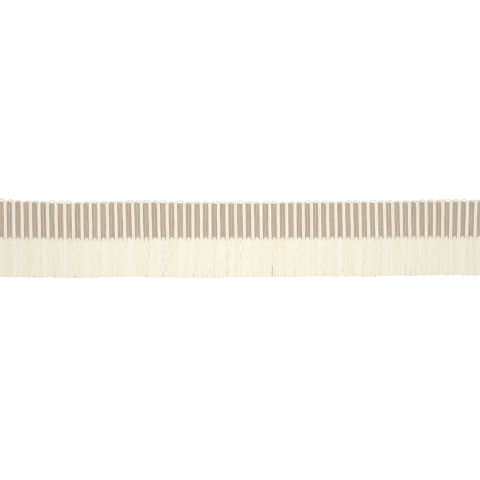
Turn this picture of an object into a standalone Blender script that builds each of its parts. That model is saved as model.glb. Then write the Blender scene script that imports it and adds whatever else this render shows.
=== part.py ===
"""Chainette fringe trim: a cut length of narrow woven trim, lying flat and face up.

Metres, +Z up. X runs along the trim, the looped edge of the heading is at +Y and the
fringe points to -Y. The underside rests on Z = 0, below the middle of the whole piece.
"""

import bmesh
import bpy
import numpy as np

MM = 0.001

# The heading, in millimetres
RIB_COUNT = 62
PITCH = 5.54
TAUPE_SHARE = 0.625
RIB_LENGTH = 22.4
FOOT_Y = 0.9
GAP = 0.3
END_MARGIN = PITCH / 4
END_ROUNDING = 0.7

# Heights above the surface that the trim lies on, in millimetres
VALLEY_TOP = 0.9
TAUPE_SHOULDER = 1.9
TAUPE_CROWN = 2.65
TAUPE_END_CROWN = 2.05
IVORY_SHOULDER = 2.0
IVORY_CROWN = 2.45

# The loops along the top edge, in millimetres, and the angles of a loop's sections, in degrees
LOOP_RISE = 1.8
LOOP_THICKNESS = 0.85
LOOP_LOW = 0.75
LOOP_HIGH = 1.6
LOOP_TURN = (40, 90, 140)

# The fringe, in millimetres
ROOT_DEPTH = 2.5
DOME_TOP = 2.4
DOME_FLANK_TOP = 2.2
DOME_FLANK_INSET = 0.25
NOTCH_TOP = 1.0
NOTCH_INSET = 1.6
PARTING_REACH = 5.0

# A strand's sections from root to tip: shares of its length and sway, millimetres for the rest
STRAND_SECTIONS = (
    ("hang", "sway", "width", "height"),
    (0.0, 0.0, 1.08, 1.75),
    (0.5, 0.35, 1.02, 1.65),
    (1.0, 1.0, 0.90, 1.40),
)

# How the trim runs unevenly from left to right: a share for the taupe ribs' width, and
# millimetres for the rest, where lean is how far a rib's foot stands right of its top
UNEVEN = (
    ("along", "drift", "taupe_width", "lean", "top", "foot", "hang"),
    (-158, 0.00, 1.10, 0.33, 1.00, 0.13, 26.2),
    (-120, 0.41, 1.07, 0.50, -0.40, -0.26, 26.4),
    (-98, 0.98, 1.02, 0.29, -0.33, -0.66, 26.2),
    (-77, 1.11, 1.01, 0.63, 0.20, 0.00, 25.6),
    (-53, 1.62, 1.00, 0.67, 0.07, 0.00, 26.6),
    (-31, 2.01, 0.99, 0.00, -0.33, 0.00, 26.9),
    (0, 2.50, 0.98, 0.50, -0.40, 0.00, 26.4),
    (30, 3.15, 0.96, 0.16, -0.33, 0.00, 26.1),
    (58, 2.44, 0.93, 0.42, 0.07, 0.07, 25.9),
    (80, 1.33, 0.95, 0.58, 0.07, 0.20, 26.1),
    (110, 0.92, 1.00, 0.50, 0.46, 0.60, 25.9),
    (135, 0.51, 1.00, -0.29, 0.80, 0.66, 25.7),
    (158, 0.00, 1.03, -0.80, 0.86, 0.66, 25.6),
)
SMOOTHED_OVER = (-10.0, -5.0, 0.0, 5.0, 10.0)

# Where the fringe parts into locks, and how far each side gives way at the tips, in millimetres
PARTINGS = (
    ("along", "opening"),
    (-124, 0.40),
    (-87, 0.30),
    (-75, 0.25),
    (-51, 0.35),
    (-28, 0.35),
    (10, 0.25),
    (21, 0.40),
    (54, 0.30),
    (67, 0.25),
    (113, 0.35),
    (127, 0.40),
    (142, 0.35),
)


def column(table, name):
    """The values of one named column, from a table whose first row holds the names."""
    return np.array([row[table[0].index(name)] for row in table[1:]])


def uneven(name, along):
    """A column of UNEVEN at these places, averaged over a few millimetres to be smooth."""
    values = column(UNEVEN, name)
    places = column(UNEVEN, "along")
    return np.mean([np.interp(along + step, places, values) for step in SMOOTHED_OVER], axis=0)


def jitter(number, salt):
    """A repeatable value from -1 to 1 for each numbered thread: the fraction of a large sine."""
    return 2 * np.modf(np.abs(np.sin(number * 12.99 + salt * 78.23)) * 437.58)[0] - 1


def taupe_ribs():
    """Each taupe rib's middle at half height and its half width, from the pitch and the table."""
    number = np.arange(RIB_COUNT)
    even = (number - (RIB_COUNT - 1) / 2) * PITCH
    middle = even + uneven("drift", even) + 0.10 * jitter(number, 1)
    half_width = PITCH * TAUPE_SHARE / 2 * uneven("taupe_width", even) + 0.05 * jitter(number, 2)
    return middle, half_width


def valleys():
    """Each ivory rib's middle and half width: what the taupe ribs leave, and one at both ends."""
    middle, half_width = taupe_ribs()
    whole = PITCH * (1 - TAUPE_SHARE)
    left = np.append(middle[0] - half_width[0] - whole, middle + half_width)
    right = np.append(middle - half_width, middle[-1] + half_width[-1] + whole)
    return (left + right) / 2, (right - left) / 2


def foot_edge(along):
    """Y of the heading's foot."""
    return FOOT_Y + uneven("foot", along)


def top_edge(along):
    """Y of the top ends of the taupe ribs."""
    return FOOT_Y + RIB_LENGTH + uneven("top", along)


def leaned(along, height):
    """X of a thread that stands at this place at half height, at a share of the rib's height."""
    return along + uneven("lean", along) * (0.5 - height)


def material(name, colour, roughness):
    """A matt yarn colour, given as an sRGB hex value."""
    made = bpy.data.materials.new(name)
    made.use_nodes = True
    shader = made.node_tree.nodes["Principled BSDF"]
    channels = np.array([int(colour[i : i + 2], 16) for i in (0, 2, 4)]) / 255
    linear = np.where(channels <= 0.04045, channels / 12.92, ((channels + 0.055) / 1.055) ** 2.4)
    shader.inputs["Base Color"].default_value = (*linear, 1)
    shader.inputs["Roughness"].default_value = roughness
    shader.inputs["Metallic"].default_value = 0
    made.diffuse_color = (*linear, 1)
    return made


def solid(name, points, faces, finish):
    """An object from points in millimetres and faces, with its faces turned outwards."""
    mesh = bpy.data.meshes.new(name)
    mesh.from_pydata((np.asarray(points) * MM).tolist(), [], faces)
    shape = bmesh.new()
    shape.from_mesh(mesh)
    bmesh.ops.recalc_face_normals(shape, faces=shape.faces)
    shape.to_mesh(mesh)
    shape.free()
    mesh.materials.append(finish)
    mesh.shade_smooth()
    mesh.set_sharp_from_angle(angle=np.radians(50))
    placed = bpy.data.objects.new(name, mesh)
    bpy.context.scene.collection.objects.link(placed)
    return placed


def band_between(ring, following):
    """The quads between two rings of as many points."""
    size = len(ring)
    return [
        (ring[i], ring[(i + 1) % size], following[(i + 1) % size], following[i])
        for i in range(size)
    ]


def heading_band():
    """The ground tape with the taupe ribs raised from it, as one grid over a flat underside."""
    middle, half_width = taupe_ribs()
    across = np.array([-1.0, -0.96, -0.4, 0.4, 0.96, 1.0])
    full = np.array([VALLEY_TOP, TAUPE_SHOULDER, TAUPE_CROWN, TAUPE_CROWN, TAUPE_SHOULDER, VALLEY_TOP])
    ended = np.minimum(full, TAUPE_END_CROWN)
    columns = (middle[:, None] + (half_width - GAP / 2)[:, None] * across).ravel()
    outermost = valleys()[0][[0, -1]]
    columns = np.concatenate([outermost[:1] - END_MARGIN, columns, outermost[1:] + END_MARGIN])

    # The rows from foot to top: share of the rib's height, step in Y, and the rib's section
    rows = (
        (0.0, 0.0, full),
        (1.0, -END_ROUNDING, full),
        (1.0, 0.0, ended),
    )
    grid = []
    for height, step, section in rows:
        x = leaned(columns, height)
        y = foot_edge(columns) + height * (top_edge(columns) - foot_edge(columns)) + step
        z = np.concatenate([[VALLEY_TOP], np.tile(section, RIB_COUNT), [VALLEY_TOP]])
        grid.append(np.column_stack([x, y, z]))
    points = np.concatenate([*grid, grid[0] * (1, 1, 0), grid[-1] * (1, 1, 0)])

    count = len(columns)
    top_row = (len(rows) - 1) * count
    foot_floor = len(rows) * count
    top_floor = foot_floor + count
    faces = []
    for c in range(count - 1):
        for a in range(c, top_row, count):
            faces.append((a, a + 1, a + count + 1, a + count))
        faces.append((foot_floor + c, foot_floor + c + 1, c + 1, c))
        faces.append((top_row + c, top_row + c + 1, top_floor + c + 1, top_floor + c))
        faces.append((top_floor + c, top_floor + c + 1, foot_floor + c + 1, foot_floor + c))
    for c in (0, count - 1):
        faces.append((foot_floor + c, *range(c, foot_floor, count), top_floor + c))
    return solid("heading_band", points, faces, material("taupe_yarn", "C2AE98", 0.85))


def loop_rings(start, finish):
    """A loop's sections, each its outer low, inner low, inner high and outer high corner.

    The outer side swings on a half ellipse from the middle of one rib's top end to the
    middle of the next, the inner side on a smaller one between the ribs' facing edges.
    """
    number = np.arange(len(start))
    rise = LOOP_RISE + 0.3 * jitter(number, 3)
    skew = 0.25 * jitter(number, 4)
    rings = []
    for angle in np.radians(LOOP_TURN):
        blend = (1 - np.cos(angle)) / 2
        lift = np.sin(angle)
        outer = start[:, 1] + blend * (finish[:, 1] - start[:, 1])
        inner = start[:, 2] + blend * (finish[:, 0] - start[:, 2])
        outer_x = outer[:, 0] + lift * skew
        outer_y = outer[:, 1] + lift * rise
        inner_x = inner[:, 0] + lift * skew
        inner_y = inner[:, 1] + lift * (rise - LOOP_THICKNESS)
        low = outer[:, 2] + lift * (LOOP_LOW - outer[:, 2])
        inner_high = IVORY_SHOULDER + lift * (LOOP_HIGH - IVORY_SHOULDER) + 0 * low
        outer_high = IVORY_CROWN + lift * (LOOP_HIGH - IVORY_CROWN) + 0 * low
        ring = (
            (outer_x, outer_y, low),
            (inner_x, inner_y, low),
            (inner_x, inner_y, inner_high),
            (outer_x, outer_y, outer_high),
        )
        rings.append(np.stack([np.column_stack(corner) for corner in ring], axis=1))
    return np.stack(rings, axis=1)


def ivory_weft():
    """The ivory ribs, each split at its top end into the halves of two loops."""
    middle, half_width = valleys()
    low = VALLEY_TOP + GAP

    # A rib's section: half widths to the side, and height
    section = np.array(
        [
            (-1.0, low),
            (0.0, low),
            (1.0, low),
            (0.97, IVORY_SHOULDER),
            (0.0, IVORY_CROWN),
            (-0.97, IVORY_SHOULDER),
        ]
    )
    ends = []
    for height in (0.0, 1.0):
        x = leaned(middle, height)[:, None] + (half_width - GAP / 2)[:, None] * section[:, 0]
        y = foot_edge(x) + height * (top_edge(x) - foot_edge(x))
        ends.append(np.stack([x, y, np.broadcast_to(section[:, 1], x.shape)], axis=-1))
    ribs = np.stack(ends, axis=1)
    loops = loop_rings(ribs[:-1, 1], ribs[1:, 1])
    points = np.concatenate([ribs.reshape(-1, 3), loops.reshape(-1, 3)])

    count = len(middle)
    sides = len(section)
    faces = []
    for k in range(count):
        foot = [2 * k * sides + i for i in range(sides)]
        top = [i + sides for i in foot]
        faces += band_between(foot, top)
        faces.append(tuple(foot))
        if k == 0:
            faces.append((top[0], top[1], top[4], top[5]))
        if k == count - 1:
            faces.append((top[1], top[2], top[3], top[4]))
            continue
        following_top = [i + 2 * sides for i in top]
        ring = [top[1], top[2], top[3], top[4]]
        for section_number in range(len(LOOP_TURN)):
            corner = 2 * count * sides + 4 * (k * len(LOOP_TURN) + section_number)
            following = [corner, corner + 1, corner + 2, corner + 3]
            faces += band_between(ring, following)
            ring = following
        faces += band_between(ring, [following_top[i] for i in (1, 0, 5, 4)])
    return solid("ivory_weft", points, faces, material("ivory_yarn", "F3EBD8", 0.85))


def root_places():
    """X along the heading's foot of the rib feet and the notches between them, by turns."""
    ribs = np.empty(2 * RIB_COUNT + 1)
    ribs[0::2] = leaned(valleys()[0], 0.0)
    ribs[1::2] = leaned(taupe_ribs()[0], 0.0)
    places = np.empty(2 * len(ribs) - 1)
    places[0::2] = ribs
    places[1::2] = (ribs[:-1] + ribs[1:]) / 2
    return np.concatenate([[places[0] - END_MARGIN], places, [places[-1] + END_MARGIN]])


def sway(along):
    """How far a strand's tip strays in X: a slow swing and the partings between locks."""
    distance = along[:, None] - column(PARTINGS, "along")
    openings = column(PARTINGS, "opening") * np.sign(distance) * np.exp(-np.abs(distance) / PARTING_REACH)
    slow = 0.5 * np.sin(along / 23.0) + 0.3 * np.sin(along / 9.0 + 1.0)
    return slow + openings.sum(axis=1)


def chainette_fringe():
    """The root strip, with a dome at each rib's foot, and three-sided strands flat on the floor."""
    places = root_places()
    strands = (places[:-1] + places[1:]) / 2
    number = np.arange(len(strands))

    # The strip's back edge: a dome or a notch at each place, and a dome's flank at each strand
    notched = np.arange(len(places)) % 2 == 0
    back_x = np.empty(2 * len(places) - 1)
    back_x[0::2] = places
    back_x[1::2] = strands
    inset = np.full(len(back_x), DOME_FLANK_INSET)
    inset[0::2] = np.where(notched, NOTCH_INSET, 0.0)
    crown = np.full(len(back_x), DOME_FLANK_TOP)
    crown[0::2] = np.where(notched, NOTCH_TOP, DOME_TOP)
    back_y = foot_edge(back_x) - GAP - inset
    floor = np.zeros(len(back_x))
    dips = np.column_stack([places, foot_edge(places) - ROOT_DEPTH, np.full(len(places), NOTCH_TOP)])

    # The strands' sections: left and right on the floor, and the top
    hang = uneven("hang", strands) + 0.35 * jitter(number, 5)
    tip = sway(strands) + 0.06 * jitter(number, 6)
    rings = []
    for share, swing, width, height in STRAND_SECTIONS[1:]:
        x = strands + swing * tip
        y = foot_edge(strands) - ROOT_DEPTH - share * (hang - ROOT_DEPTH)
        level = np.zeros(len(strands))
        ring = (
            (x - width / 2, y, level),
            (x + width / 2, y, level),
            (x, y, level + height),
        )
        rings.append(np.stack([np.column_stack(corner) for corner in ring], axis=1))
    rings = np.stack(rings, axis=1)
    points = np.concatenate(
        [
            np.column_stack([back_x, back_y, crown]),
            np.column_stack([back_x, back_y, floor]),
            dips,
            dips[[0, -1]] * (1, 1, 0),
            rings.reshape(-1, 3),
        ]
    )

    under = len(back_x)
    dip = 2 * len(back_x)
    front_left = dip + len(places)
    front_right = front_left + 1
    first = front_right + 1
    step = rings.shape[1] * rings.shape[2]
    faces = []
    for j in range(len(strands)):
        left = first + j * step
        right, top = left + 1, left + 2
        a = 2 * j
        before = right - step if j else front_left
        faces.append((under + a, under + a + 1, a + 1, a))
        faces.append((under + a + 1, under + a + 2, a + 2, a + 1))
        faces.append((a, a + 1, top, dip + j))
        faces.append((a + 1, a + 2, dip + j + 1, top))
        faces.append((dip + j, before, left))
        faces.append((dip + j, left, top))
        faces.append((dip + j + 1, top, right))
        faces.append((under + a, before, left))
        faces.append((under + a, left, right, under + a + 2, under + a + 1))
        ring = [left, right, top]
        for section in range(1, rings.shape[1]):
            following = [left + 3 * section + corner for corner in range(3)]
            faces += band_between(ring, following)
            ring = following
        faces.append(tuple(ring))
    last = len(back_x) - 1
    last_right = first + (len(strands) - 1) * step + 1
    faces.append((dip + len(places) - 1, last_right, front_right))
    faces.append((under + last, last_right, front_right))
    faces.append((0, dip, front_left, under))
    faces.append((last, dip + len(places) - 1, front_right, under + last))
    return solid("chainette_fringe", points, faces, material("ivory_chainette", "F2EAD6", 0.9))


for leftover in list(bpy.data.objects):
    bpy.data.objects.remove(leftover)
heading_band()
ivory_weft()
chainette_fringe()
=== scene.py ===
"""Looks of the chainette fringe trim: its yarns, its weave, and the table, lamp and camera.

The file follows the trim as it is made: the woven ground tape, the taupe ribs laid across it,
the ivory yarns that loop over them along the top edge, and the fringe in three layers.
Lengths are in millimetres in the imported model's frame, with X along the trim, the fringe
towards -Y and the table at Z = 0, and they turn to metres as they go into a mesh.
"""

import bpy
import numpy as np
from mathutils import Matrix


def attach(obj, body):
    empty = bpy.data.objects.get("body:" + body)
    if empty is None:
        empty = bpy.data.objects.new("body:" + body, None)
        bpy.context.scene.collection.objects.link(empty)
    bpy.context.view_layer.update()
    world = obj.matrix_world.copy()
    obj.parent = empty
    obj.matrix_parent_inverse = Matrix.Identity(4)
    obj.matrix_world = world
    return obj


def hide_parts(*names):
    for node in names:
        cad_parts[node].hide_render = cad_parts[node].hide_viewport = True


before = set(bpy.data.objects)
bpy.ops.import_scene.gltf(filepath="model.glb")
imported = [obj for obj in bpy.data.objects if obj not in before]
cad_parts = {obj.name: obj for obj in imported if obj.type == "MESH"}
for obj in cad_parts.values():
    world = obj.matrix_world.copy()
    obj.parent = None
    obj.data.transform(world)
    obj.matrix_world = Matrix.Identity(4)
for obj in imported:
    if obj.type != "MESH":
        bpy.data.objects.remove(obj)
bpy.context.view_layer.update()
MM = 0.001


# The setting: a table of opal acrylic under one wide soft lamp in a pale room, with a camera
# that looks straight down through a long lens. To the camera alone the table glows like a light
# table, so from above it is pure white, and the thin trim's shadow doesn't show on it.
PICTURE_PIXELS = 480
MM_PER_PIXEL = 0.66
LENS = 85.0
SENSOR = 36.0
PICTURE_MIDDLE = (-0.18, -1.01)
YARN_LEVEL = 1.6
LAMP_SIZE = 300.0
LAMP_HEIGHT = 400.0
LAMP_WATTS = 1.36
ROOM_GLOW = 0.45
TABLE_SIZE = 6000.0
TABLE_COLOUR = "C4C4C4"
TABLE_ROUGHNESS = 0.6
TABLE_GLOW = 0.7


def linear(colour):
    """Red, green, blue and alpha for a shader, from an sRGB hex value by the standard's own curve."""
    channels = np.array([int(colour[i : i + 2], 16) for i in (0, 2, 4)]) / 255
    return (*np.where(channels <= 0.04045, channels / 12.92, ((channels + 0.055) / 1.055) ** 2.4), 1)


def new_material(name, colour, roughness):
    """A material with one shader, and the shader, which takes what else the surface needs."""
    made = bpy.data.materials.new(name)
    made.use_nodes = True
    shader = made.node_tree.nodes["Principled BSDF"]
    shader.inputs["Base Color"].default_value = linear(colour)
    shader.inputs["Roughness"].default_value = roughness
    return made, shader


def node(tree, kind, inputs, **settings):
    """Adds a shader node, sets its properties, and gives each named input a value or a socket."""
    made = tree.nodes.new("ShaderNode" + kind)
    for name, value in settings.items():
        setattr(made, name, value)
    for name, value in inputs.items():
        if isinstance(value, bpy.types.NodeSocket):
            tree.links.new(value, made.inputs[name])
        else:
            made.inputs[name].default_value = value
    return made


camera = bpy.data.objects.new("camera", bpy.data.cameras.new("camera"))
camera.data.lens = LENS
camera.data.sensor_width = SENSOR
distance = PICTURE_PIXELS * MM_PER_PIXEL * LENS / SENSOR
camera.location = (PICTURE_MIDDLE[0] * MM, PICTURE_MIDDLE[1] * MM, (YARN_LEVEL + distance) * MM)
bpy.context.scene.collection.objects.link(camera)
bpy.context.scene.camera = camera
bpy.context.scene.view_settings.view_transform = "Standard"

lamp = bpy.data.objects.new("soft_lamp", bpy.data.lights.new("soft_lamp", "AREA"))
lamp.data.size = LAMP_SIZE * MM
lamp.data.energy = LAMP_WATTS
lamp.location = (0, 0, LAMP_HEIGHT * MM)
lamp.visible_camera = False
bpy.context.scene.collection.objects.link(lamp)

room = bpy.data.worlds.new("pale_room")
room.use_nodes = True
room.node_tree.nodes["Background"].inputs["Color"].default_value = (1, 1, 1, 1)
room.node_tree.nodes["Background"].inputs["Strength"].default_value = ROOM_GLOW
bpy.context.scene.world = room

# Opal acrylic, pale and matt. Its glow is seen but lights nothing, so the yarns' edges stay shaded
opal_acrylic, shader = new_material("opal_acrylic", TABLE_COLOUR, TABLE_ROUGHNESS)
shader.inputs["Emission Color"].default_value = (1, 1, 1, 1)
rays = node(opal_acrylic.node_tree, "LightPath", {})
glow = {0: rays.outputs["Is Camera Ray"], 1: TABLE_GLOW}
glowing = node(opal_acrylic.node_tree, "Math", glow, operation="MULTIPLY")
opal_acrylic.node_tree.links.new(glowing.outputs[0], shader.inputs["Emission Strength"])
table_mesh = bpy.data.meshes.new("table_top")
table_corners = np.array([(-1, -1, 0), (1, -1, 0), (1, 1, 0), (-1, 1, 0)]) * TABLE_SIZE / 2 * MM
table_mesh.from_pydata(table_corners.tolist(), [], [(0, 1, 2, 3)])
table_mesh.materials.append(opal_acrylic)
table_top = bpy.data.objects.new("table_top", table_mesh)
bpy.context.scene.collection.objects.link(table_top)


# The ground tape: a narrow cotton tape that the ribs are woven into. Fine ivory binder threads
# run along it and cross the ribs over and under by turns. They show underneath, where the
# trim was never meant to be seen.
RIB_COUNT = 62
PITCH = 5.54
TAUPE_SHARE = 0.625
EVEN_HALF_WIDTH = PITCH * TAUPE_SHARE / 2
RIB_LENGTH = 22.4
FOOT_Y = 0.9
END_MARGIN = PITCH / 4
RIB_SHIFT = 0.10
RIB_WIDTH_SPREAD = 0.05
TAPE_TOP = 0.9
TAPE_SWELL = 0.28
TAPE_TONE = 0.5
TAPE_YARN_ROUND = 3.0
BINDER_COUNT = 16
BINDER_RISE = 0.22
COLUMNS_PER_RIB = 4
ROWS_PER_BINDER = 4
FLOAT_ROWS = (1, 2)

# How the trim runs unevenly from left to right: a share for the taupe ribs' width, and
# millimetres for the rest, where lean is how far a rib's foot stands right of its top
UNEVEN = (
    ("along", "drift", "taupe_width", "lean", "top", "foot", "hang"),
    (-158, 0.00, 1.10, 0.33, 1.00, 0.13, 26.2),
    (-120, 0.41, 1.07, 0.50, -0.40, -0.26, 26.4),
    (-98, 0.98, 1.02, 0.29, -0.33, -0.66, 26.2),
    (-77, 1.11, 1.01, 0.63, 0.20, 0.00, 25.6),
    (-53, 1.62, 1.00, 0.67, 0.07, 0.00, 26.6),
    (-31, 2.01, 0.99, 0.00, -0.33, 0.00, 26.9),
    (0, 2.50, 0.98, 0.50, -0.40, 0.00, 26.4),
    (30, 3.15, 0.96, 0.16, -0.33, 0.00, 26.1),
    (58, 2.44, 0.93, 0.42, 0.07, 0.07, 25.9),
    (80, 1.33, 0.95, 0.58, 0.07, 0.20, 26.1),
    (110, 0.92, 1.00, 0.50, 0.46, 0.60, 25.9),
    (135, 0.51, 1.00, -0.29, 0.80, 0.66, 25.7),
    (158, 0.00, 1.03, -0.80, 0.86, 0.66, 25.6),
)
SMOOTHED_OVER = (-10.0, -5.0, 0.0, 5.0, 10.0)

# The large sine that scatters threads: its steps for a thread and for a use, and its size
THREAD_STEP = 12.99
SALT_STEP = 78.23
SINE_SIZE = 437.58

# The cotton: a chainette's stitch and its columns of stitches, the patches of colour with the
# range of noise that they spread over, and the fibres, counted along a millimetre and round a yarn
STITCH = 1.5
STITCH_COLUMNS = 4
PATCH_WIDTH = 1.0
PATCH_LENGTH = 6.25
PATCH_RANGE = (0.2, 0.8)
YARN_SHADE = 0.35
FIBRES_ALONG = 2.2
FIBRES_ROUND = 34.0
FIBRE_STRENGTH = 0.35
FIBRE_DEPTH = 0.1


def column(table, name):
    """The values of one named column, from a table whose first row holds the names."""
    return np.array([row[table[0].index(name)] for row in table[1:]])


def uneven(name, along):
    """A column of UNEVEN at these places, averaged over a few millimetres to be smooth."""
    values = column(UNEVEN, name)
    places = column(UNEVEN, "along")
    return np.mean([np.interp(along + step, places, values) for step in SMOOTHED_OVER], axis=0)


def jitter(number, salt):
    """A repeatable value from -1 to 1 for each numbered thread: the fraction of a large sine.

    A salt is a whole number that each use of this function has for itself.
    """
    sine = np.abs(np.sin(number * THREAD_STEP + salt * SALT_STEP))
    return 2 * np.modf(sine * SINE_SIZE)[0] - 1


def foot_edge(along):
    """Y of the heading's foot."""
    return FOOT_Y + uneven("foot", along)


def top_edge(along):
    """Y of the top ends of the taupe ribs."""
    return FOOT_Y + RIB_LENGTH + uneven("top", along)


def leaned(along, height):
    """X of a thread that stands at this place at half height, at a share of the rib's height."""
    return along + uneven("lean", along) * (0.5 - height)


def smooth(share):
    """A share that eases in and out: 3 share^2 - 2 share^3, held to 0 and 1 outside."""
    share = np.clip(share, 0, 1)
    return share * share * (3 - 2 * share)


def spun_cotton(name, colour, second_colour):
    """Matt spun cotton: soft and fuzzy, so light spreads over it with no gloss and a faint bloom.

    Two close colours mix along each yarn, in patches of a few millimetres, as in any dyed
    cotton. The bump has fibres of about 0.1 mm that lean with the stitches, drawn about
    five times as coarse as cotton's own. UV is millimetres along the yarn and turns round it.
    """
    made, shader = new_material(name, colour, 0.92)
    shader.inputs["Sheen Weight"].default_value = 0.15
    shader.inputs["Sheen Roughness"].default_value = 0.6
    shader.inputs["Specular IOR Level"].default_value = 0.2
    tree = made.node_tree
    place = node(tree, "TexCoord", {})
    yarn = node(tree, "Attribute", {}, attribute_name="tone")

    # Patches of colour, 1 mm wide and 6 mm long, and each yarn a little darker or lighter
    patches_across = 1 / (PATCH_WIDTH * MM)
    patches_along = 1 / (PATCH_LENGTH * MM)
    patch_place = node(
        tree,
        "Mapping",
        {"Vector": place.outputs["Object"], "Scale": (patches_across, patches_along, patches_across)},
    )
    patches = node(
        tree,
        "TexNoise",
        {"Vector": patch_place.outputs["Vector"], "Scale": 1.0, "Detail": 1.0},
    )
    toned = node(
        tree,
        "Math",
        {0: yarn.outputs["Fac"], 1: YARN_SHADE, 2: patches.outputs["Fac"]},
        operation="MULTIPLY_ADD",
    )
    share = node(
        tree,
        "MapRange",
        {"Value": toned.outputs[0], "From Min": PATCH_RANGE[0], "From Max": PATCH_RANGE[1]},
    )
    mixed = node(
        tree,
        "Mix",
        {"Factor": share.outputs[0], "A": linear(colour), "B": linear(second_colour)},
        data_type="RGBA",
    )
    tree.links.new(mixed.outputs["Result"], shader.inputs["Base Color"])

    # Fibres that run along the yarn and lean to and fro, by half a stitch over half a column
    half_column = 1 / (2 * STITCH_COLUMNS)
    turned = node(tree, "SeparateXYZ", {"Vector": place.outputs["UV"]})
    wale = node(tree, "Math", {0: turned.outputs["Y"], 1: half_column}, operation="PINGPONG")
    slant = node(
        tree,
        "Math",
        {0: wale.outputs[0], 1: -0.5 * STITCH / half_column, 2: turned.outputs["X"]},
        operation="MULTIPLY_ADD",
    )
    fibre_place = node(tree, "CombineXYZ", {"X": slant.outputs[0], "Y": turned.outputs["Y"]})
    fibre_scaled = node(
        tree,
        "Mapping",
        {"Vector": fibre_place.outputs[0], "Scale": (FIBRES_ALONG, FIBRES_ROUND, 1.0)},
    )
    fibres = node(
        tree,
        "TexNoise",
        {"Vector": fibre_scaled.outputs["Vector"], "Scale": 1.0, "Detail": 2.0},
    )
    bump = node(
        tree,
        "Bump",
        {"Height": fibres.outputs["Fac"], "Strength": FIBRE_STRENGTH, "Distance": FIBRE_DEPTH * MM},
    )
    tree.links.new(bump.outputs["Normal"], shader.inputs["Normal"])
    return made


def put_in_scene(name, points, faces, materials, smooth_faces, face_material, uv, tone):
    """A piece from whole arrays: points in millimetres, and faces as a list of arrays of point numbers.

    The faces of one array have as many corners each. uv has a row for each corner, tone a
    value for each point, and smooth_faces and face_material a value for each face.
    """
    corners = np.concatenate([group.ravel() for group in faces])
    sizes = np.concatenate([np.full(len(group), group.shape[1]) for group in faces])
    mesh = bpy.data.meshes.new(name)
    mesh.vertices.add(len(points))
    mesh.vertices.foreach_set("co", (points * MM).astype(np.float32).ravel())
    mesh.loops.add(len(corners))
    mesh.loops.foreach_set("vertex_index", corners.astype(np.int32))
    mesh.polygons.add(len(sizes))
    mesh.polygons.foreach_set("loop_start", (np.cumsum(sizes) - sizes).astype(np.int32))
    mesh.polygons.foreach_set("use_smooth", smooth_faces)
    for finish in materials:
        mesh.materials.append(finish)
    mesh.polygons.foreach_set("material_index", face_material.astype(np.int32))
    mesh.uv_layers.new(name="along_and_round")
    mesh.uv_layers[0].uv.foreach_set("vector", uv.astype(np.float32).ravel())
    mesh.attributes.new("tone", "FLOAT", "POINT")
    mesh.attributes["tone"].data.foreach_set("value", tone.astype(np.float32))
    mesh.update(calc_edges=True)
    mesh.validate()
    piece = bpy.data.objects.new(name, mesh)
    bpy.context.scene.collection.objects.link(piece)
    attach(piece, "root")
    return piece


def rib_middles():
    """X of the taupe ribs' middles at half height, and their half widths."""
    number = np.arange(RIB_COUNT)
    even = (number - (RIB_COUNT - 1) / 2) * PITCH
    middle = even + uneven("drift", even) + RIB_SHIFT * jitter(number, 1)
    half_width = EVEN_HALF_WIDTH * uneven("taupe_width", even) + RIB_WIDTH_SPREAD * jitter(number, 2)
    return middle, half_width


def valley_middles():
    """X of the ivory ribs' middles, between the taupe ribs and one more at both ends."""
    middle, half_width = rib_middles()
    whole = PITCH * (1 - TAUPE_SHARE)
    left = np.append(middle[0] - half_width[0] - whole, middle + half_width)
    right = np.append(middle - half_width, middle[-1] + half_width[-1] + whole)
    return (left + right) / 2


TAUPE_MIDDLE, TAUPE_HALF_WIDTH = rib_middles()
IVORY_MIDDLE = valley_middles()
taupe_cotton = spun_cotton("taupe_spun_cotton", "CBBBA8", "C0AD9B")
ivory_cotton = spun_cotton("ivory_spun_cotton", "EFEBDE", "EBE4D2")


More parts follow.
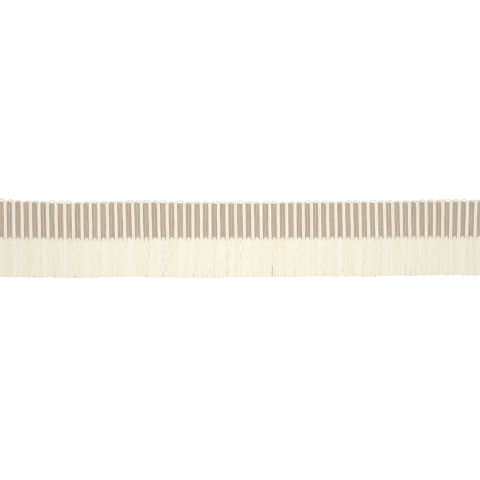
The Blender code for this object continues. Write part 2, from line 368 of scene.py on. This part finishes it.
def ground_tape():
    """The tape, flat on top, where the ribs cover it, and swelling downward under each rib.

    Height underneath = swell x (1 - sin across a rib) + rise x (1 - section x sin across a rib),
    where the section is a binder's rounded one on the ribs that its float shows on, which are
    every second one, and nothing on the others. The lowest point is then put at Z = 0.
    """
    edges = np.empty(2 * RIB_COUNT + 2)
    edges[1:-1:2] = TAUPE_MIDDLE - TAUPE_HALF_WIDTH
    edges[2:-1:2] = TAUPE_MIDDLE + TAUPE_HALF_WIDTH
    edges[0] = IVORY_MIDDLE[0] - END_MARGIN
    edges[-1] = IVORY_MIDDLE[-1] + END_MARGIN
    step = np.arange((len(edges) - 1) * COLUMNS_PER_RIB + 1)
    across = np.interp(step / COLUMNS_PER_RIB, np.arange(len(edges)), edges)
    rib = np.minimum(step // COLUMNS_PER_RIB, len(edges) - 2)
    swelling = np.abs(np.sin(np.pi * step / COLUMNS_PER_RIB))
    row = np.arange(BINDER_COUNT * ROWS_PER_BINDER + 1)
    height = row / row[-1]
    binder = row // ROWS_PER_BINDER
    section = np.sqrt(np.abs(np.sin(np.pi * row / ROWS_PER_BINDER)))
    shows = (rib[None] + binder[:, None]) % 2
    x = leaned(across[None], height[:, None])
    y = foot_edge(x) + height[:, None] * (top_edge(x) - foot_edge(x))
    under = TAPE_SWELL * (1 - swelling)[None] + BINDER_RISE * (1 - shows * section[:, None] * swelling)
    under -= under.min()
    bottom = np.stack([x, y, under], axis=-1)
    top = np.stack([x[[0, -1]], y[[0, -1]], np.full_like(x[[0, -1]], TAPE_TOP)], axis=-1)
    points = np.concatenate([bottom.reshape(-1, 3), top.reshape(-1, 3)])

    rows, columns = x.shape
    number = np.arange(rows * columns).reshape(rows, columns)
    over = number[-1, -1] + 1 + np.arange(2 * columns).reshape(2, columns)
    beneath = np.stack([number[:-1, :-1], number[1:, :-1], number[1:, 1:], number[:-1, 1:]], -1)
    above = np.stack([over[0, :-1], over[0, 1:], over[1, 1:], over[1, :-1]], -1)
    foot = np.stack([number[0, :-1], number[0, 1:], over[0, 1:], over[0, :-1]], -1)
    head = np.stack([number[-1, 1:], number[-1, :-1], over[1, :-1], over[1, 1:]], -1)
    left = np.concatenate([number[:, 0], [over[1, 0], over[0, 0]]])[None]
    right = np.concatenate([number[::-1, -1], [over[0, -1], over[1, -1]]])[None]
    faces = [beneath.reshape(-1, 4), above, foot, head, left, right]

    # A face under a rib wears the rib's yarn, unless it is in the middle rows of a binder's float
    middle_row = np.isin(row[:-1] % ROWS_PER_BINDER, FLOAT_ROWS)
    floats = shows[:-1, :-1] * middle_row[:, None]
    ivory_rib = np.broadcast_to(rib[:-1] % 2 == 0, floats.shape)
    wears = np.where(floats + ivory_rib > 0, 1, 0).ravel()
    plain = np.where(rib[:-1] % 2 == 0, 1, 0)
    face_material = np.concatenate([wears, plain, plain, plain, [1, 1]])
    smooth_faces = np.arange(len(face_material)) < len(wears)
    corners = np.concatenate([group.ravel() for group in faces])
    uv = np.column_stack([points[corners, 1], points[corners, 0] / TAPE_YARN_ROUND])
    tone = TAPE_TONE * np.tile(jitter(rib, 20), rows + 2)
    materials = [taupe_cotton, ivory_cotton]
    return put_in_scene("ground_tape", points, faces, materials, smooth_faces, face_material, uv, tone)


tape = ground_tape()
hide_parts("heading_band")


# The taupe ribs: three soft taupe yarns side by side, the middle one riding a little higher.
# Each is laid straight across the tape, is caught under the ivory loops at the top, and dips
# between the fringe's yarns at the foot, where its ends show as dark prongs.
TAUPE_PLACES = (-0.56, 0.0, 0.56)
TAUPE_YARN_HALF_WIDTH = (0.54, 0.63, 0.54)
TAUPE_HALF_HEIGHT = (0.56, 0.68, 0.56)
TAUPE_LEVEL = (1.20, 1.93, 1.20)
TAUPE_SECTIONS = 65
TAUPE_RELIEF = 0.07
TAUPE_SWING = 0.05
TAUPE_SWING_STEP = 3.1
SIDES = 8
PHASES = 9.0
RIB_TONE = 0.6

# Below the heading's foot, the outer yarns reach down as prongs and the middle one is tucked in
TAUPE_PRONG = 0.45
PRONG_SPREAD = 0.2
TAUPE_TUCK = 0.35
PRONG_LEVEL = 1.15
FOOT_DIP_START = 0.7
FOOT_DIP_LENGTH = 2.0
FOOT_NARROWED = 0.25
FOOT_FLATTENED = 0.35

# At the top edge, all three dip under the loop and end just past the edge
TAUPE_TOP_TUCK = 0.12
TUCK_LEVEL = 1.25
TOP_DIP_START = 1.1
TOP_DIP_LENGTH = 1.4
TOP_FLATTENED = 0.3


def along_path(path):
    """Millimetres along each path to each of its points, as the sum of the steps before it."""
    steps = np.linalg.norm(np.diff(path, axis=1), axis=2)
    return np.concatenate([np.zeros((len(path), 1)), np.cumsum(steps, axis=1)], axis=1)


def swing(along, reach, step, number, salt):
    """How far yarns swing from straight: reach x sin(millimetres / step + each yarn's own phase)."""
    return reach * np.sin(along / step + PHASES * jitter(number, salt)[:, None])


def chain_relief(along, phase, depth):
    """How far each point of a chainette swells: its knitted loops make chevrons in four columns.

    Of a yarn's eight sides, even ones run up the middle of a column and odd ones lie in the
    groove between two. Swell = 1 + depth x (cos(2 pi (along / stitch + phase - lag)) - 1) / 2
    - depth x groove, where a groove's lag is half a stitch and its groove is 1.
    """
    groove = np.arange(SIDES) % 2
    turn = along[:, :, None] / STITCH + phase[:, None, None] - 0.5 * groove
    return 1 + depth * ((np.cos(2 * np.pi * turn) - 1) / 2 - groove)


def yarn_piece(name, path, half_width, half_height, relief, tone, material):
    """Yarns as closed soft tubes: path + side x half width x cos(turn) + up x half height x sin(turn).

    path is yarns x sections x 3. Side is level and square to the path, up is square to both,
    and relief, which is yarns x sections x sides, multiplies the distance from the path.
    The turn starts underneath, so a yarn's top is half way round. Flat ends close the tubes.
    """
    forward = np.gradient(path, axis=1)
    forward /= np.linalg.norm(forward, axis=2, keepdims=True)
    side = np.stack([-forward[..., 1], forward[..., 0], 0 * forward[..., 0]], axis=2)
    side /= np.linalg.norm(side, axis=2, keepdims=True)
    up = np.cross(forward, side)
    yarns, sections, sides = relief.shape
    turn = 2 * np.pi * np.arange(sides) / sides - np.pi / 2
    level = side[:, :, None] * half_width[..., None, None] * np.cos(turn)[:, None]
    upright = up[:, :, None] * half_height[..., None, None] * np.sin(turn)[:, None]
    points = path[:, :, None] + (level + upright) * relief[..., None]

    number = np.arange(yarns * sections * sides).reshape(yarns, sections, sides)
    beside = np.roll(number, -1, axis=2)
    walls = np.stack([number[:, :-1], beside[:, :-1], beside[:, 1:], number[:, 1:]], axis=-1)
    faces = [walls.reshape(-1, 4), number[:, 0, ::-1], number[:, -1]]

    # UV is millimetres along the yarn, and turns round it, which end at 1 and not at 0
    along = np.broadcast_to(along_path(path)[:, :, None], number.shape)
    before = np.broadcast_to(np.arange(sides) / sides, number.shape)
    after = before + 1 / sides
    wall_along = np.stack([along[:, :-1], along[:, :-1], along[:, 1:], along[:, 1:]], axis=-1)
    wall_round = np.stack([before[:, :-1], after[:, :-1], after[:, 1:], before[:, 1:]], axis=-1)
    all_along = [wall_along, along[:, 0], along[:, -1]]
    all_round = [wall_round, before[:, 0, ::-1], before[:, -1]]
    uv = np.column_stack(
        [np.concatenate([part.ravel() for part in parts]) for parts in (all_along, all_round)]
    )

    count = walls.size // 4 + 2 * yarns
    smooth_faces = np.arange(count) < walls.size // 4
    face_material = np.zeros(count)
    spread_tone = np.repeat(tone, sections * sides)
    points = points.reshape(-1, 3)
    return put_in_scene(name, points, faces, [material], smooth_faces, face_material, uv, spread_tone)


def taupe_ribs():
    """Three yarns a rib: straight in plan but for a small swing, level, and dipping at both ends.

    Y goes evenly from foot to top, X follows the rib's lean, and Z = level, easing to the
    prong's level over the last millimetres at the foot and to the tuck's at the top.
    """
    place = np.tile(TAUPE_PLACES, RIB_COUNT)
    middle = np.repeat(TAUPE_MIDDLE, 3) + place * np.repeat(TAUPE_HALF_WIDTH, 3)
    number = np.arange(len(middle))
    foot_line = foot_edge(middle)[:, None]
    top_line = top_edge(middle)[:, None]
    prong = TAUPE_PRONG + PRONG_SPREAD * jitter(number, 21)
    foot = foot_line - np.where(np.abs(place) > 0, prong, TAUPE_TUCK)[:, None]
    top = top_line + TAUPE_TOP_TUCK
    y = foot + np.linspace(0, 1, TAUPE_SECTIONS)[None] * (top - foot)
    height = (y - foot_line) / RIB_LENGTH
    swung = swing(y, TAUPE_SWING, TAUPE_SWING_STEP, number, 22)
    x = leaned(middle[:, None], np.clip(height, 0, 1)) + swung
    at_foot = smooth((foot_line + FOOT_DIP_START - y) / FOOT_DIP_LENGTH)
    at_top = smooth((y - top_line + TOP_DIP_START) / TOP_DIP_LENGTH)
    level = np.tile(TAUPE_LEVEL, RIB_COUNT)[:, None]
    z = level + at_foot * (PRONG_LEVEL - level) + at_top * (TUCK_LEVEL - level)
    path = np.stack([x, y, z], axis=-1)
    spread = np.repeat(TAUPE_HALF_WIDTH, 3)[:, None] / EVEN_HALF_WIDTH
    narrowed = 1 - FOOT_NARROWED * at_foot
    flattened = 1 - FOOT_FLATTENED * at_foot - TOP_FLATTENED * at_top
    half_width = np.tile(TAUPE_YARN_HALF_WIDTH, RIB_COUNT)[:, None] * spread * narrowed
    half_height = np.tile(TAUPE_HALF_HEIGHT, RIB_COUNT)[:, None] * flattened
    relief = chain_relief(along_path(path), jitter(number, 23), TAUPE_RELIEF)
    tone = RIB_TONE * jitter(number, 24)
    return yarn_piece("taupe_ribs", path, half_width, half_height, relief, tone, taupe_cotton)


ribs = taupe_ribs()
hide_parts("heading_band")


# The ivory ribs and the looped edge: each ivory yarn comes up one side of an ivory rib, swings
# over the taupe rib's top end in a loose loop, and goes down the facing side of the next ivory
# rib, so an ivory rib is two yarns pressed together and the top edge is a row of loops.
IVORY_OFFSET = 0.56
IVORY_HALF_WIDTH = 0.67
IVORY_HALF_HEIGHT = 0.74
IVORY_LEVEL = 1.68
IVORY_RELIEF = 0.08
IVORY_SWING = 0.04
IVORY_SWING_STEP = 2.7
LEG_SECTIONS = 60
LEG_SHORT_OF_TOP = 0.3

# A loop's size above its legs, and how it differs from loop to loop. Roundness is a power of
# the sine, and the last two are how soon a leg has sunk and thinned into the loop
LOOP_SECTIONS = 17
LOOP_RISE = 1.7
LOOP_RISE_SPREAD = 0.4
LOOP_LEAN = 0.7
LOOP_LEAN_SPREAD = 0.5
LOOP_ROUNDNESS = 0.85
LOOP_ROUNDNESS_SPREAD = 0.25
LOOP_HALF_WIDTH = 0.60
LOOP_LEVEL = 1.15
LOOP_SINKS = 1.2
LOOP_THINS = 1.3

# Where an ivory rib's yarn runs on as a fringe yarn, both are plain, and one reaches into the other
JOIN_LENGTH = 1.5
JOIN_OVERLAP = 0.1


def joined_smoothly(relief, from_foot):
    """Relief that is plain at the heading's foot and eases in: 1 + (relief - 1) x eased share."""
    return 1 + (relief - 1) * smooth(from_foot / JOIN_LENGTH)[..., None]


def looped_yarns():
    """Hairpins: two straight legs joined by half an ellipse whose skew and rise differ.

    Round the loop, X and Y go from one leg's end to the other's by (1 - cos(turn)) / 2,
    with skew x sin(turn) added to X and rise x sin(turn)^roundness to Y. Z and the yarn's
    width ease from the leg's to the loop's as sin(turn) grows.
    """
    number = np.arange(RIB_COUNT)
    start = IVORY_MIDDLE[:-1] + IVORY_OFFSET
    finish = IVORY_MIDDLE[1:] - IVORY_OFFSET
    share = np.linspace(0, 1, LEG_SECTIONS)[None]
    legs = []
    for place, salt in ((start[:, None], 31), (finish[:, None], 32)):
        foot = foot_edge(place) - JOIN_OVERLAP
        top = top_edge(place) - LEG_SHORT_OF_TOP
        y = foot + share * (top - foot)
        x = leaned(place, share) + swing(y, IVORY_SWING, IVORY_SWING_STEP, number, salt)
        legs.append(np.stack([x, y, np.full_like(x, IVORY_LEVEL)], axis=-1))

    turn = np.linspace(0, np.pi, LOOP_SECTIONS + 2)[None, 1:-1]
    low, high = legs[0][:, -1:, :], legs[1][:, -1:, :]
    blend = (1 - np.cos(turn)) / 2
    rise = LOOP_RISE + LOOP_RISE_SPREAD * jitter(number, 3)[:, None]
    skew = LOOP_LEAN + LOOP_LEAN_SPREAD * jitter(number, 4)[:, None]
    roundness = LOOP_ROUNDNESS + LOOP_ROUNDNESS_SPREAD * jitter(number, 33)[:, None]
    x = low[..., 0] + blend * (high - low)[..., 0] + skew * np.sin(turn)
    y = low[..., 1] + blend * (high - low)[..., 1] + rise * np.sin(turn) ** roundness
    z = IVORY_LEVEL + (LOOP_LEVEL - IVORY_LEVEL) * smooth(LOOP_SINKS * np.sin(turn)) + 0 * x
    loop = np.stack([x, y, z], axis=-1)
    path = np.concatenate([legs[0], loop, legs[1][:, ::-1]], axis=1)

    leg_thin = np.zeros((RIB_COUNT, LEG_SECTIONS))
    loop_thin = smooth(LOOP_THINS * np.sin(turn)) + 0 * x
    thin = np.concatenate([leg_thin, loop_thin, leg_thin], axis=1)
    half_width = IVORY_HALF_WIDTH + (LOOP_HALF_WIDTH - IVORY_HALF_WIDTH) * thin
    half_height = IVORY_HALF_HEIGHT + (LOOP_HALF_WIDTH - IVORY_HALF_HEIGHT) * thin
    along = along_path(path)
    from_foot = np.minimum(along, along[:, -1:] - along)
    relief = joined_smoothly(chain_relief(along, jitter(number, 34), IVORY_RELIEF), from_foot)
    tone = RIB_TONE * jitter(number, 35)
    return yarn_piece("ivory_loops", path, half_width, half_height, relief, tone, ivory_cotton)


def end_yarns():
    """The outermost yarn at each cut end, a straight line up the heading with no loop."""
    place = np.array([IVORY_MIDDLE[0] - IVORY_OFFSET, IVORY_MIDDLE[-1] + IVORY_OFFSET])[:, None]
    share = np.linspace(0, 1, LEG_SECTIONS)[None]
    foot = foot_edge(place) - JOIN_OVERLAP
    y = foot + share * (top_edge(place) - foot)
    path = np.stack([leaned(place, share) + 0 * y, y, np.full_like(y, IVORY_LEVEL)], axis=-1)
    half_width = np.full(y.shape, IVORY_HALF_WIDTH)
    half_height = np.full(y.shape, IVORY_HALF_HEIGHT)
    along = along_path(path)
    relief = joined_smoothly(chain_relief(along, np.zeros(2), IVORY_RELIEF), along)
    return yarn_piece("end_yarns", path, half_width, half_height, relief, np.zeros(2), ivory_cotton)


loops = looped_yarns()
ends = end_yarns()
for piece in (loops, ends):
    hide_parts("ivory_weft")


# The fringe's face: the two yarns of each ivory rib run on below the heading, and between them
# a hairpin of the same soft chainette is drawn over each taupe rib's foot, where it shows as a
# small dome. All hang side by side, flattened against each other, to a straight cut.
FRINGE_SECTIONS = 62
FRINGE_HALF_WIDTH = 0.98
FRINGE_HALF_HEIGHT = 0.32
FRINGE_RELIEF = 0.05
FRINGE_TONE = 0.8
FACE_LEVEL = 1.34
TIP_LEVEL = 0.98
SETTLED_AFTER = 3.0
HANG_EXTRA = 0.2
HANG_SPREAD = 0.35
LIFT_SPREAD = 0.08
FRINGE_SWING = 0.20
FRINGE_SWING_STEP = 1.5

# A yarn's tip strays with its neighbours, away from the partings between locks and in slow
# swings, and by itself. The stray grows from root to tip as a power of the share of the way
PARTINGS = (
    ("along", "opening"),
    (-124, 0.40),
    (-87, 0.30),
    (-75, 0.25),
    (-51, 0.35),
    (-28, 0.35),
    (10, 0.25),
    (21, 0.40),
    (54, 0.30),
    (67, 0.25),
    (113, 0.35),
    (127, 0.40),
    (142, 0.35),
)
PARTING_REACH = 5.0
SLOW_SWINGS = (
    ("reach", "step", "start"),
    (0.5, 23.0, 0.0),
    (0.3, 9.0, 1.0),
)
TIP_SPREAD = 0.35
TIP_SHIFT = 0.06
STRAY_POWER = 1.5

# A dome is half an ellipse between two legs, which it joins a little below their roots
DOME_OFFSET = 0.46
DOME_RISE = 0.55
DOME_LEVEL = 1.84
DOME_HALF_WIDTH = 0.70
DOME_HALF_HEIGHT = 0.56
DOME_SECTIONS = 11
ROOT_SECTIONS_CUT = 2
chainette_cotton = spun_cotton("ivory_chainette_cotton", "EAE6D8", "E6DFCB")


def sway(along):
    """How far tips stray with their neighbours: the slow swings + each parting's opening, fading."""
    past = along[:, None] - column(PARTINGS, "along")
    fading = np.exp(-np.abs(past) / PARTING_REACH)
    openings = column(PARTINGS, "opening") * np.sign(past) * fading
    slow = sum(reach * np.sin(along / step + start) for reach, step, start in SLOW_SWINGS[1:])
    return slow + openings.sum(axis=1)


def strand_places():
    """X of the fringe's strands where they hang evenly: four to a pitch, two at each rib's foot."""
    feet = np.empty(2 * RIB_COUNT + 1)
    feet[0::2] = leaned(IVORY_MIDDLE, 0.0)
    feet[1::2] = leaned(TAUPE_MIDDLE, 0.0)
    places = np.empty(2 * len(feet) - 1)
    places[0::2] = feet
    places[1::2] = (feet[:-1] + feet[1:]) / 2
    places = np.concatenate([[places[0] - END_MARGIN], places, [places[-1] + END_MARGIN]])
    return (places[:-1] + places[1:]) / 2


def hanging(number, root, level):
    """Paths of face yarns, by strand number, from their roots to their tips.

    X = root, easing to the strand's even place over the first millimetres, + stray x share^1.5
    + a small swing; Y falls evenly; Z eases from the root's level to the face's, then the tip's.
    """
    strands = strand_places()[number]
    hang = uneven("hang", strands) + HANG_SPREAD * jitter(number, 5) + HANG_EXTRA
    stray = sway(strands) + TIP_SHIFT * jitter(number, 6) + TIP_SPREAD * jitter(number, 41)
    share = np.linspace(0, 1, FRINGE_SECTIONS)[None]
    down = share * hang[:, None]
    settled = smooth(down / SETTLED_AFTER)
    swung = swing(down, FRINGE_SWING, FRINGE_SWING_STEP, number, 42) * settled
    strayed = stray[:, None] * share**STRAY_POWER
    x = root[:, None] + settled * (strands - root)[:, None] + strayed + swung
    y = foot_edge(strands)[:, None] - down
    lift = LIFT_SPREAD * jitter(number, 43)[:, None] * settled
    z = level + settled * (FACE_LEVEL - level) + share * (TIP_LEVEL - FACE_LEVEL) + lift
    return np.stack([x, y, z], axis=-1)


def face_widths(from_root, root_width, root_height):
    """Half widths and heights of face yarns: the root's, easing to a flattened yarn that hangs free."""
    settled = smooth(from_root / SETTLED_AFTER)
    half_width = root_width + settled * (FRINGE_HALF_WIDTH - root_width)
    half_height = root_height + settled * (FRINGE_HALF_HEIGHT - root_height)
    return half_width, half_height


def rib_yarns():
    """The yarns that run on from the ivory ribs, one either side of each rib's middle."""
    yarn = np.arange(2 * (RIB_COUNT + 1))
    number = yarn // 2 * 4 + yarn % 2
    side = np.tile([-IVORY_OFFSET, IVORY_OFFSET], RIB_COUNT + 1)
    root = leaned(np.repeat(IVORY_MIDDLE, 2) + side, 0.0)
    path = hanging(number, root, IVORY_LEVEL)
    along = along_path(path)
    half_width, half_height = face_widths(along, IVORY_HALF_WIDTH, IVORY_HALF_HEIGHT)
    relief = joined_smoothly(chain_relief(along, jitter(number, 44), FRINGE_RELIEF), along)
    tone = FRINGE_TONE * jitter(number, 45)
    return yarn_piece("fringe_from_ribs", path, half_width, half_height, relief, tone, chainette_cotton)


def dome_yarns():
    """Hairpins over the taupe ribs' feet: two hanging legs joined by half an ellipse.

    Round the dome, every coordinate goes from leg to leg by (1 - cos(turn)) / 2, with
    rise x sin(turn) added to Y.
    """
    rib = np.arange(RIB_COUNT)
    middle = leaned(TAUPE_MIDDLE, 0.0)
    left = hanging(4 * rib + 2, middle - DOME_OFFSET, DOME_LEVEL)[:, ROOT_SECTIONS_CUT:]
    right = hanging(4 * rib + 3, middle + DOME_OFFSET, DOME_LEVEL)[:, ROOT_SECTIONS_CUT:]
    turn = np.linspace(0, np.pi, DOME_SECTIONS + 2)[None, 1:-1]
    blend = ((1 - np.cos(turn)) / 2)[..., None]
    dome = left[:, :1] + blend * (right[:, :1] - left[:, :1])
    dome[..., 1] += DOME_RISE * np.sin(turn)
    path = np.concatenate([left[:, ::-1], dome, right], axis=1)
    sections_away = np.abs(np.arange(path.shape[1]) - (path.shape[1] - 1) / 2) - DOME_SECTIONS / 2
    from_root = sections_away * uneven("hang", middle)[:, None] / FRINGE_SECTIONS
    half_width, half_height = face_widths(from_root, DOME_HALF_WIDTH, DOME_HALF_HEIGHT)
    relief = chain_relief(along_path(path), jitter(rib, 46), FRINGE_RELIEF)
    tone = FRINGE_TONE * jitter(rib, 47)
    return yarn_piece("fringe_domes", path, half_width, half_height, relief, tone, chainette_cotton)


face = [rib_yarns(), dome_yarns()]
for piece in face:
    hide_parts("chainette_fringe")


# The fringe's body: two more layers of the same chainette under the face, which close the gaps
# between its yarns. They come out of the tape's foot, and the lowest layer lies on the table.
BODY_SECTIONS = 12
BODY_SIDES = 6
YARNS_PER_PITCH = 6
BODY_SHIFT = 0.15
BODY_SHORTER = 0.2
BODY_HANG_SPREAD = 0.4
BODY_SWAY = 0.3
BODY_TIP_SPREAD = 0.6
BODY_LAYERS = (
    ("name", "below_foot", "level", "tip_level", "half_width", "half_height", "salt"),
    ("fringe_middle", 0.5, 1.12, 0.84, 0.66, 0.32, 51),
    ("fringe_back", 0.1, 0.42, 0.34, 0.66, 0.34, 61),
)


def body_layer(name, below_foot, level, tip_level, half_width, half_height, salt):
    """A layer of plain yarns that start evenly spaced just below the heading's foot.

    X = place + stray x share^1.5, where a share of the face's sway and a jitter make the
    stray. Y and Z fall evenly to the tip.
    """
    count = YARNS_PER_PITCH * (RIB_COUNT + 1) - 2
    number = np.arange(count)
    strands = strand_places()
    first, last = strands[0], strands[-1]
    place = first + (last - first) * (number + 0.5) / count + BODY_SHIFT * jitter(number, salt)
    share = np.linspace(0, 1, BODY_SECTIONS)[None]
    hang = uneven("hang", place) + BODY_HANG_SPREAD * jitter(number, salt + 1) - BODY_SHORTER
    top = foot_edge(place) - below_foot
    y = top[:, None] - share * (hang - below_foot)[:, None]
    stray = BODY_SWAY * sway(place) + BODY_TIP_SPREAD * jitter(number, salt + 2)
    x = place[:, None] + stray[:, None] * share**STRAY_POWER
    z = level + share * (tip_level - level) + 0 * x
    path = np.stack([x, y, z], axis=-1)
    relief = np.ones((count, BODY_SECTIONS, BODY_SIDES))
    tone = FRINGE_TONE * jitter(number, salt + 3)
    widths = np.full(y.shape, half_width)
    heights = np.full(y.shape, half_height)
    return yarn_piece(name, path, widths, heights, relief, tone, chainette_cotton)


body = [body_layer(*row) for row in BODY_LAYERS[1:]]
for piece in body:
    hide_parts("chainette_fringe")
